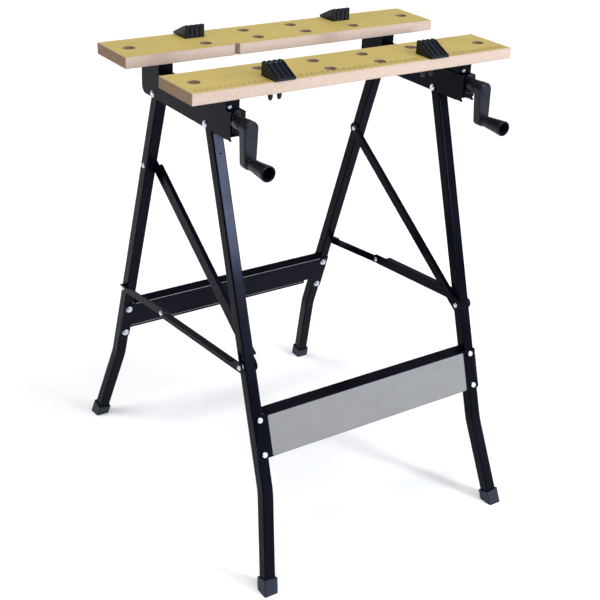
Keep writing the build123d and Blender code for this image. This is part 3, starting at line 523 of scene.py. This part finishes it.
BRACE_JOINT_DISTANCE = 0.154
BRACE_JOINT_RISE = 0.003
LOWER = yz_leg("front", 0.383)
STRUT_TOP = yz_leg("rear", 0.144)
BRACE_END = yz_leg("rear", 0.424)
BRACE_SPAN = math.hypot(BRACE_END[0] - LOWER[0], BRACE_END[1] - LOWER[1])
SHARE = (BRACE_SPAN - BRACE_JOINT_DISTANCE) / BRACE_SPAN
BRACE_MID = (
    LOWER[0] + (BRACE_END[0] - LOWER[0]) * SHARE,
    LOWER[1] + (BRACE_END[1] - LOWER[1]) * SHARE + BRACE_JOINT_RISE,
)

bm = bmesh.new()
for side in (-1, 1):
    inner, outer = side * LOWER_BOLT_INNER, side * FRONT_LINK_OUTER
    shaft(bm, *LOWER, inner, outer)
    shaft(bm, *LOWER, side * LEG_OUTER, side * REAR_LINK_OUTER, SPACER_R)
    pivot_head(bm, (inner, *LOWER), -side)
    pivot_head(bm, (outer, *LOWER), side)
finish_piece(
    bm, "lower_pivot_bolts_detail", ZINC, "front_frame", ("lower_pivot_bolts",)
)

bm = bmesh.new()
for side in (-1, 1):
    pivot_head(bm, (side * LEG_OUTER, *STRUT_TOP), side)
finish_piece(bm, "leg_rivets_detail", ZINC, "rear_frame", ("leg_rivets",))

for word, side in SIDES.items():
    bm = bmesh.new()
    pivot_head(bm, (side * STRUT_INNER, *STRUT_TOP), -side)
    finish_piece(
        bm, "strut_rivet_detail_" + word, ZINC, "strut_" + word + "_unit",
        ("strut_rivet_" + word,),
    )
    bm = bmesh.new()
    inner, outer = side * BRACE_RIVET_INNER, side * FRONT_LINK_OUTER
    shaft(bm, *BRACE_MID, inner, outer)
    pivot_head(bm, (outer, *BRACE_MID), side)
    disc = frame_at((inner, *BRACE_MID), (side, 0, 0), (0, 1, 0))
    lathe(bm, [(0, 0), (0.0042, 0), (0.0045, 0.0001), (0.0045, 0.00024), (0, 0.00024)], disc, 32)
    finish_piece(
        bm, "brace_rivet_detail_" + word, ZINC, "brace_front_" + word + "_unit",
        ("brace_rivet_" + word,),
    )
    bm = bmesh.new()
    pivot_head(bm, (side * REAR_LINK_OUTER, *BRACE_END), side)
    finish_piece(
        bm, "brace_end_rivet_detail_" + word, ZINC, "brace_rear_" + word + "_unit",
        ("brace_end_rivet_" + word,),
    )


# ------------------------------------- painted highlights along the bends on the sheet metal pieces
def bend_line(bm, end, x_low, x_high, depth, out, width):
    """Flat strip along X, width down the leg plane and out from it."""
    corners = []
    for x, s in ((x_low, depth), (x_high, depth), (x_high, depth + width), (x_low, depth + width)):
        point, _ = leg_place(end, x, s, out)
        corners.append(bm.verts.new(point))
    bm.faces.new(corners)


# light grey enamel for the bend strips: painted highlight
BEND_HIGHLIGHT = enamel_material("painted_bend_highlight", (0.19, 0.19, 0.21), (0.36, 0.36, 0.38))
# Light strips just proud of the crossbar's front, along its top bend and along its lower lip:
# painted highlights
BEND_OUT = TUBE / 2 + CROSSBAR_SHEET + 0.00006
bm = bmesh.new()
bend_line(bm, "rear", -0.2090, 0.2105, 0.4611, BEND_OUT, 0.0011)
bend_line(bm, "rear", -0.2115, 0.1855, 0.5166, BEND_OUT, 0.0009)
finish_piece(bm, "crossbar_painted_highlights", BEND_HIGHLIGHT, "rear_frame")

# --------------------------------------------------------------- threaded rods
def threaded_rod(name, side, body, node):
    """Rod along Y with a helical ridge, made of rings a quarter of a pitch apart."""
    bm = bmesh.new()
    start, end = -0.1825, 0.045
    pitch, turn_steps, root, outside = 0.0025, 20, 0.0034, 0.0040
    lead_turns = (end - start) / pitch
    steps_per_pitch = 4
    count = int(lead_turns * steps_per_pitch)
    rings = []
    for i in range(count + 1):
        y = start + (end - start) * i / count
        ring = []
        for k in range(turn_steps):
            a = 2 * math.pi * k / turn_steps
            phase = ((y - start) / pitch - k / turn_steps) % 1.0
            crest = 1.0 - abs(2.0 * phase - 1.0)
            radius = root + (outside - root) * min(1.0, crest * 1.6)
            ring.append(
                bm.verts.new(
                    (side * SPINDLE_X + radius * math.cos(a), y, SPINDLE_Z + radius * math.sin(a))
                )
            )
        rings.append(ring)
    join_rings(bm, rings)
    finish_piece(bm, name, ZINC, body, (node,), smooth=50.0)


for word, side in SIDES.items():
    threaded_rod(
        "spindle_detail_" + word, side, "crank_" + word + "_unit", "spindle_" + word
    )


# ------------------------------------------------------------------------ pegs
PEG_HALF = 0.018
PEG_H = 0.0216
PEG_LIFT = 0.0001
PEG_FACE = 0.0130
PEG_NOSE = 0.0285
PEG_NOSE_H = 0.0035
PEG_RIBS = (-0.010, 0.0, 0.010)
PEG_LOBES = 4
LOBE_R = 0.0076
CREST_Y = 0.0090
RIB_HALF = 0.0006
RECESS_HALF = 0.0150
RECESS_DEPTH = 0.0018
HATCH_PITCH = 0.0030
HATCH_DEPTH = 0.00045
PRONG_SIDES = 24
# Rows of points up the ribbed face, and the first row on the sloping back
FACE_ROWS = 48
BACK_START = FACE_ROWS + 4


def peg_profile(x):
    """Closed side outline of a peg at x across its width: y towards the gap, z up."""
    step = 2 * PEG_HALF / PEG_LOBES
    off = (x + PEG_HALF) % step - step / 2
    flute = LOBE_R - math.sqrt(LOBE_R ** 2 - off * off)
    crest = PEG_H - 0.95 * flute
    points = [(PEG_FACE - 0.0002 - flute, 0.0)]
    for i in range(1, FACE_ROWS):
        z = (crest - 0.0008) * i / FACE_ROWS
        groove = ((z + 0.8 * x) / HATCH_PITCH) % 1.0
        notch = HATCH_DEPTH * max(0.0, 1.0 - abs(groove - 0.5) * 5.0)
        points.append((PEG_FACE - flute - notch, z))
    points.append((PEG_FACE - 0.0004 - flute, crest - 0.0003))
    points.append((PEG_FACE - 0.0012 - flute, crest))
    # sloping back: a framed recess crossed by three thin ribs
    rib = min(abs(x - place) for place in PEG_RIBS)
    wall = min((RECESS_HALF - abs(x)) / 0.0006, (rib - RIB_HALF) / 0.0004)
    depth = RECESS_DEPTH * max(0.0, min(1.0, wall))
    y_top, z_top, y_low, z_low = CREST_Y, PEG_H, -PEG_NOSE, PEG_NOSE_H
    slope = math.hypot(y_top - y_low, z_top - z_low)
    normal = (-(z_top - z_low) / slope, (y_top - y_low) / slope)
    points.append((y_top + 0.0006, crest))
    steps = 30
    for i in range(steps + 1):
        t = i / steps
        fade = max(0.0, min(1.0, min(t - 0.06, 0.93 - t) / 0.035))
        d = depth * fade
        rise = (PEG_H - crest) * max(0.0, 1.0 - t / 0.08)
        points.append(
            (
                y_top + (y_low - y_top) * t - normal[0] * d,
                z_top + (z_low - z_top) * t - normal[1] * d - rise,
            )
        )
    points.append((-PEG_NOSE, 0.0006))
    points.append((-PEG_NOSE + 0.0006, 0.0))
    return points


def make_peg(name, x_place, y_place, toward_gap, body, node):
    """Fluted clamping peg, swept across its width, on two snap-in prongs."""
    bm = bmesh.new()
    count = 180
    rings = []
    for i in range(count + 1):
        x = PEG_HALF * (-1 + 2 * i / count)
        ring = []
        for y, z in peg_profile(x):
            lifted = JAW_TOP + z + PEG_LIFT * (1 - z / PEG_H)
            ring.append(bm.verts.new((x_place + x, y_place + toward_gap * y, lifted)))
        rings.append(ring)
    for i, row in enumerate(join_rings(bm, rings)):
        x = PEG_HALF * (-1 + (2 * i + 1) / count)
        # rib faces on the sloping back take the lighter plastic: painted highlight
        if min(abs(x - rib) for rib in PEG_RIBS) < RIB_HALF:
            for face in row[BACK_START + 1:-4]:
                face.material_index = 1
    # two rounded snap-in prongs under the peg: depth, middle, half width, half thickness
    shape = [
        (-0.0010, 0.0064, 0.0022, 0.0034), (0.0185, 0.0064, 0.0022, 0.0034),
        (0.0195, 0.0068, 0.0026, 0.0035), (0.0215, 0.0081, 0.0037, 0.0036),
        (0.0270, 0.0081, 0.0037, 0.0036), (0.0320, 0.0080, 0.0034, 0.0033),
        (0.0348, 0.0079, 0.0027, 0.0027), (0.0362, 0.0078, 0.0016, 0.0016),
        (0.0366, 0.0078, 0.0004, 0.0004),
    ]
    for prong in (-1, 1):
        rings = []
        for down, middle, wide, thick in shape:
            ring = []
            for k in range(PRONG_SIDES):
                a = 2 * math.pi * k / PRONG_SIDES
                c, d = math.cos(a), math.sin(a)
                x = math.copysign(abs(c) ** 0.7, c) * wide
                y = math.copysign(abs(d) ** 0.7, d) * thick
                ring.append(
                    bm.verts.new((x_place + prong * middle + x, y_place + y, JAW_TOP - down))
                )
            rings.append(ring)
        join_rings(bm, rings)
    finish_piece(
        bm, name, PLASTIC, body, (node,), smooth=32.0, second=RIB_HIGHLIGHT
    )


for word, side in SIDES.items():
    make_peg(
        "peg_front_detail_" + word, side * PEG_X, FRONT_JAW_Y - DOG_ROW, 1,
        "peg_front_" + word + "_unit", "peg_front_" + word,
    )
    make_peg(
        "peg_rear_detail_" + word, side * PEG_X, REAR_JAW_Y + DOG_ROW, -1,
        "peg_rear_" + word + "_unit", "peg_rear_" + word,
    )


# ---------------------------------------------------------------- crank knobs
def make_knob(name, side, turn, body, node):
    """Tapered hollow grip with a collar at its base and a rolled mouth."""
    bm = bmesh.new()
    axis_x = side * SPINDLE_X - THROW * math.sin(turn)
    axis_z = SPINDLE_Z - THROW * math.cos(turn)
    place = frame_at((axis_x, KNOB_BASE_Y, axis_z), (0, -1, 0), (1, 0, 0))
    length = 0.0477
    floor = length - 0.0170
    profile = [
        (0.0042, 0.0), (0.0085, 0.0), (0.0092, 0.0006), (0.0092, 0.0026), (0.0088, 0.0032),
        (0.0082, 0.0038), (0.0082, 0.0048), (0.0090, 0.0058), (0.0093, 0.0080),
        (0.0099, 0.0150), (0.0108, 0.0250), (0.0117, 0.0350), (0.0122, 0.0415),
        (0.0126, 0.0442), (0.0126, 0.0461), (0.0123, 0.0471), (0.0117, length),
        (0.0109, length), (0.0105, 0.0471), (0.0102, 0.0458), (0.0097, floor + 0.0005),
        (0.0094, floor), (0.0042, floor),
    ]
    lathe(bm, profile + [profile[0]], place, 48)
    finish_piece(bm, name, PLASTIC, body, (node,), smooth=40.0)


for word, side in SIDES.items():
    make_knob(
        "crank_knob_detail_" + word, side, CRANK_TURN[word], "crank_knob_" + word + "_unit",
        "crank_knob_" + word,
    )


# ------------------------------------------------- printed scale on the front jaw
def flat_strip(bm, corners, z):
    """Flat four-cornered patch of ink at height z."""
    bm.faces.new([bm.verts.new((x, y, z)) for x, y in corners])


SEGMENTS = {
    "a": ((0, 2), (1, 2)), "b": ((1, 1), (1, 2)), "c": ((1, 0), (1, 1)), "d": ((0, 0), (1, 0)),
    "e": ((0, 0), (0, 1)), "f": ((0, 1), (0, 2)), "g": ((0, 1), (1, 1)),
}
DIGITS = {
    "0": "abcdef", "1": "bc", "2": "abged", "3": "abgcd", "4": "fgbc", "5": "afgcd",
    "6": "afgedc", "7": "abc", "8": "abcdefg", "9": "abcfgd",
}


def stroke(bm, a, b, width, z):
    """Straight line of ink from a to b with square ends."""
    start, end = Vector(a), Vector(b)
    along = (end - start).normalized()
    side = Vector((-along.y, along.x)) * width / 2
    start -= along * width / 2
    end += along * width / 2
    flat_strip(
        bm,
        [tuple(start - side), tuple(end - side), tuple(end + side), tuple(start + side)], z,
    )


def digit(bm, sign, x, y, size, z):
    """One numeral made of straight segments, with its lower left corner at x, y."""
    for segment in DIGITS[sign]:
        (x0, y0), (x1, y1) = SEGMENTS[segment]
        stroke(
            bm, (x + x0 * size * 0.5, y + y0 * size * 0.5),
            (x + x1 * size * 0.5, y + y1 * size * 0.5), size * 0.19, z,
        )


INK_Z = JAW_TOP + 0.00006
SCALE_Y = -0.1583
SCALE_HALF = 29
CENTIMETRE = 0.010
DIGIT_STEP = 0.0026
DIGIT_SIZE = 0.0036
bm = bmesh.new()
# two ticks to a centimetre
for i in range(-2 * SCALE_HALF, 2 * SCALE_HALF + 1):
    x = i * CENTIMETRE / 2
    length = 0.0050 if i % 2 == 0 else 0.0030
    stroke(bm, (x, SCALE_Y), (x, SCALE_Y + length), 0.0008, INK_Z)
# plain centimetre numbers, left out where the pegs stand on them
for i in range(-SCALE_HALF, SCALE_HALF + 1):
    x = i * CENTIMETRE
    if abs(abs(x) - PEG_X) < 0.020:
        continue
    word = str(i + SCALE_HALF)
    first = x - DIGIT_STEP * len(word) / 2 + 0.0004
    for place, sign in enumerate(word):
        digit(bm, sign, first + place * DIGIT_STEP, SCALE_Y + 0.0070, DIGIT_SIZE, INK_Z)
finish_piece(bm, "printed_scale", INK, "front_jaw_unit")

bm = bmesh.new()
ARC_X, ARC_Y = 0.2355, -0.0985
ARC_R = 0.0300
ARC_LINE = 0.0004
ARC_STEPS = 48
ARC_TICKS = 36


def on_arc(radius, angle):
    return (ARC_X + radius * math.cos(angle), ARC_Y + radius * math.sin(angle))


for radius in (ARC_R, 0.0225):
    for k in range(ARC_STEPS):
        a0, a1 = math.pi * k / ARC_STEPS, math.pi * (k + 1) / ARC_STEPS
        stroke(bm, on_arc(radius, a0), on_arc(radius, a1), ARC_LINE, INK_Z)
for k in range(ARC_TICKS + 1):
    a = math.pi * k / ARC_TICKS
    inner = 0.0265 if k % 2 else 0.0240
    stroke(bm, on_arc(inner, a), on_arc(ARC_R, a), ARC_LINE, INK_Z)
stroke(bm, (ARC_X - ARC_R, ARC_Y), (ARC_X + ARC_R, ARC_Y), ARC_LINE, INK_Z)
finish_piece(bm, "printed_protractor", FAINT_INK, "front_jaw_unit")


# ------------------------------------------- finishes on the CAD pieces that stay
def dress(node, mat, bevel=0.0):
    """Gives a CAD piece its material and, where bevel is set, rounded edges."""
    obj = NODES[node]
    obj.data.materials.clear()
    obj.data.materials.append(mat)
    for face in obj.data.polygons:
        face.material_index = 0
    if bevel:
        weld = obj.modifiers.new("weld", "WELD")
        weld.merge_threshold = 0.00001
        add_bevel(obj, bevel)


for end in ("front", "rear"):
    for word in SIDES:
        dress("leg_" + end + "_" + word, ENAMEL)
        dress("foot_" + end + "_" + word, RUBBERY, 0.0008)
for word in SIDES:
    dress("arm_" + word, ENAMEL, 0.0005)
    dress("carriage_" + word, ENAMEL, 0.0004)
    dress("strut_" + word, ENAMEL, 0.0004)
    dress("brace_front_" + word, ENAMEL, 0.0004)
    dress("brace_rear_" + word, ENAMEL, 0.0004)
    dress("spindle_nut_" + word, ZINC, 0.0005)
    dress("spindle_bush_" + word, PLASTIC, 0.0006)
    dress("crank_" + word, PLASTIC, 0.0005)
dress("front_panel", ENAMEL, 0.0004)
dress("rear_crossbar", ENAMEL, 0.0003)
dress("panel_label", LABEL)
dress("panel_nuts", ZINC, 0.0004)
dress("crossbar_nuts", ZINC, 0.0004)
dress("carriage_screws", ZINC, 0.0002)
dress("front_jaw", BOARD, 0.0002)
dress("rear_jaw", BOARD, 0.0002)


# ------------------------------------------------------------ floor and lights
def make_floor():
    """Wide pale studio floor under the feet."""
    mesh = bpy.data.meshes.new("floor")
    size = 14.0
    mesh.from_pydata(
        [(-size, -size, 0), (size, -size, 0), (size, size, 0), (-size, size, 0)], [], [(0, 1, 2, 3)]
    )
    obj = bpy.data.objects.new("floor", mesh)
    bpy.context.scene.collection.objects.link(obj)
    mat, tree, shader, coords = new_material("floor_white")
    tone = noise(tree, coords, 3.0, 2.0)
    base = ramp(tree, tone, [(0.3, (0.94, 0.94, 0.94)), (0.7, (0.96, 0.96, 0.96))])
    tree.links.new(base, shader.inputs["Base Color"])
    shader.inputs["Roughness"].default_value = 0.9
    shader.inputs["Specular IOR Level"].default_value = 0.1
    mesh.materials.append(mat)


def area_light(name, place, target, size, power, colour):
    """Square softbox that faces a target."""
    light = bpy.data.lights.new(name, "AREA")
    light.shape = "SQUARE"
    light.size = size
    light.energy = power
    light.color = colour
    obj = bpy.data.objects.new(name, light)
    obj.location = place
    direction = Vector(target) - Vector(place)
    obj.rotation_euler = direction.to_track_quat("-Z", "Y").to_euler()
    bpy.context.scene.collection.objects.link(obj)


def sun_light(name, toward, strength, spread):
    """Wide soft light from far away; toward points from the bench to the light."""
    light = bpy.data.lights.new(name, "SUN")
    light.energy = strength
    light.angle = math.radians(spread)
    obj = bpy.data.objects.new(name, light)
    obj.rotation_euler = (-Vector(toward)).to_track_quat("-Z", "Y").to_euler()
    bpy.context.scene.collection.objects.link(obj)


make_floor()
sun_light("key", (0.25, -0.60, 0.76), 1.75, 55.0)
sun_light("top", (-0.35, -0.05, 0.93), 1.45, 24.0)
area_light(
    "panel_right", (1.12, -2.54, 1.10), (-0.222, -0.125, 0.633), 0.46, 62, (0.84, 0.90, 1.0)
)
world = bpy.data.worlds.new("studio")
world.use_nodes = True
world.node_tree.nodes["Background"].inputs["Color"].default_value = (0.93, 0.95, 1.0, 1.0)
world.node_tree.nodes["Background"].inputs["Strength"].default_value = 0.35
bpy.context.scene.world = world
bpy.context.scene.view_settings.view_transform = "Standard"


# ------------------------------------------------------------------------ camera
def make_camera():
    """Camera to the front left of the bench, a little above it and slightly rolled."""
    turn, rise, roll = math.radians(-35.17), math.radians(26.68), math.radians(2.85)
    back = Vector(
        (math.sin(turn) * math.cos(rise), -math.cos(turn) * math.cos(rise), math.sin(rise))
    )
    right = Vector((math.cos(turn), math.sin(turn), 0))
    up = back.cross(right)
    x_axis = math.cos(roll) * right + math.sin(roll) * up
    y_axis = -math.sin(roll) * right + math.cos(roll) * up
    data = bpy.data.cameras.new("camera")
    data.lens = 70.56
    data.sensor_width = 36.0
    data.clip_end = 100.0
    obj = bpy.data.objects.new("camera", data)
    pose = Matrix((x_axis, y_axis, back)).transposed().to_4x4()
    pose.translation = Vector((-1.0858, -1.5622, 1.2897))
    obj.matrix_world = pose
    bpy.context.scene.collection.objects.link(obj)
    bpy.context.scene.camera = obj


make_camera()

bpy.context.view_layer.update()
